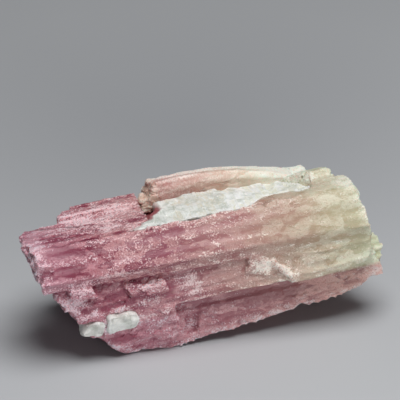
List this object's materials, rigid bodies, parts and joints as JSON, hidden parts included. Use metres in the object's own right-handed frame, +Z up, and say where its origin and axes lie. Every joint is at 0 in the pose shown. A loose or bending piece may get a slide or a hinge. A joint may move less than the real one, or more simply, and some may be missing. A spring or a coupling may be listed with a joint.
{
  "type": "rough tourmaline crystal",
  "caption": "Rough rubellite tourmaline: a ribbed bundle of prisms, pink at one end and pale green at the other, with a seam of white albite along the top.",
  "frame": {"origin": "middle of the footprint of the bounding box, on the ground", "axes": "+X along the crystal toward the green end, +Y from the front to the back, +Z up"},
  "size_m": [0.0736, 0.0264, 0.0308],
  "materials": {
    "tourmaline": "rough crystal, cloudy and translucent, pink to pale green",
    "tourmaline_pale": "rough crystal, cloudy and translucent, peach",
    "albite": "white, pearly cleavage faces"
  },
  "bodies": {
    "root": {"main_crystal": "tourmaline", "back_crystal": "tourmaline_pale", "albite_seam": "albite", "albite_grain_left": "albite", "albite_grain_right": "albite"}
  },
  "joints": []
}
